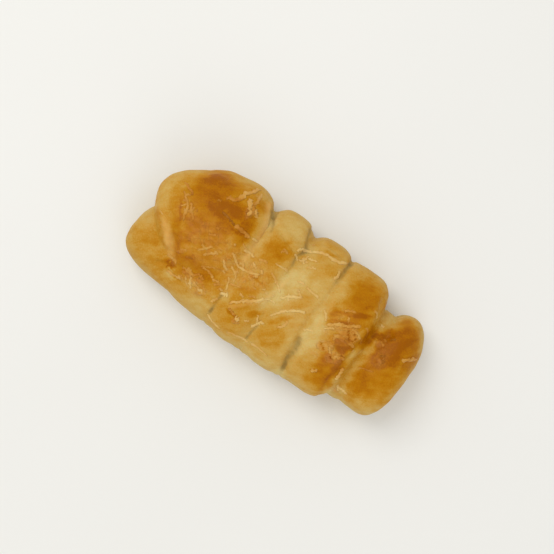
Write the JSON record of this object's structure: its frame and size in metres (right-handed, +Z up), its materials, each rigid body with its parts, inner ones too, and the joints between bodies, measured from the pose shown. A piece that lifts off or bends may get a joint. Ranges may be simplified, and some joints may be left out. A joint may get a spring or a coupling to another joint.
{
  "type": "bread roll",
  "caption": "Soft oblong bread roll wound from one strip of dough, with a fat head, creased turns, a small tail and grated cheese baked onto a golden crust.",
  "frame": {"origin": "centre of the roll's bounding box, on the flat underside that lay on the baking tray", "axes": "+X along the roll from its fat head to its small tail, +Z up from the underside to the crown, +Y across it"},
  "size_m": [0.158, 0.0746, 0.042],
  "materials": {
    "crust": "satin",
    "melted_cheese": "satin"
  },
  "bodies": {
    "root": {"bread_roll": "crust"}
  },
  "joints": []
}
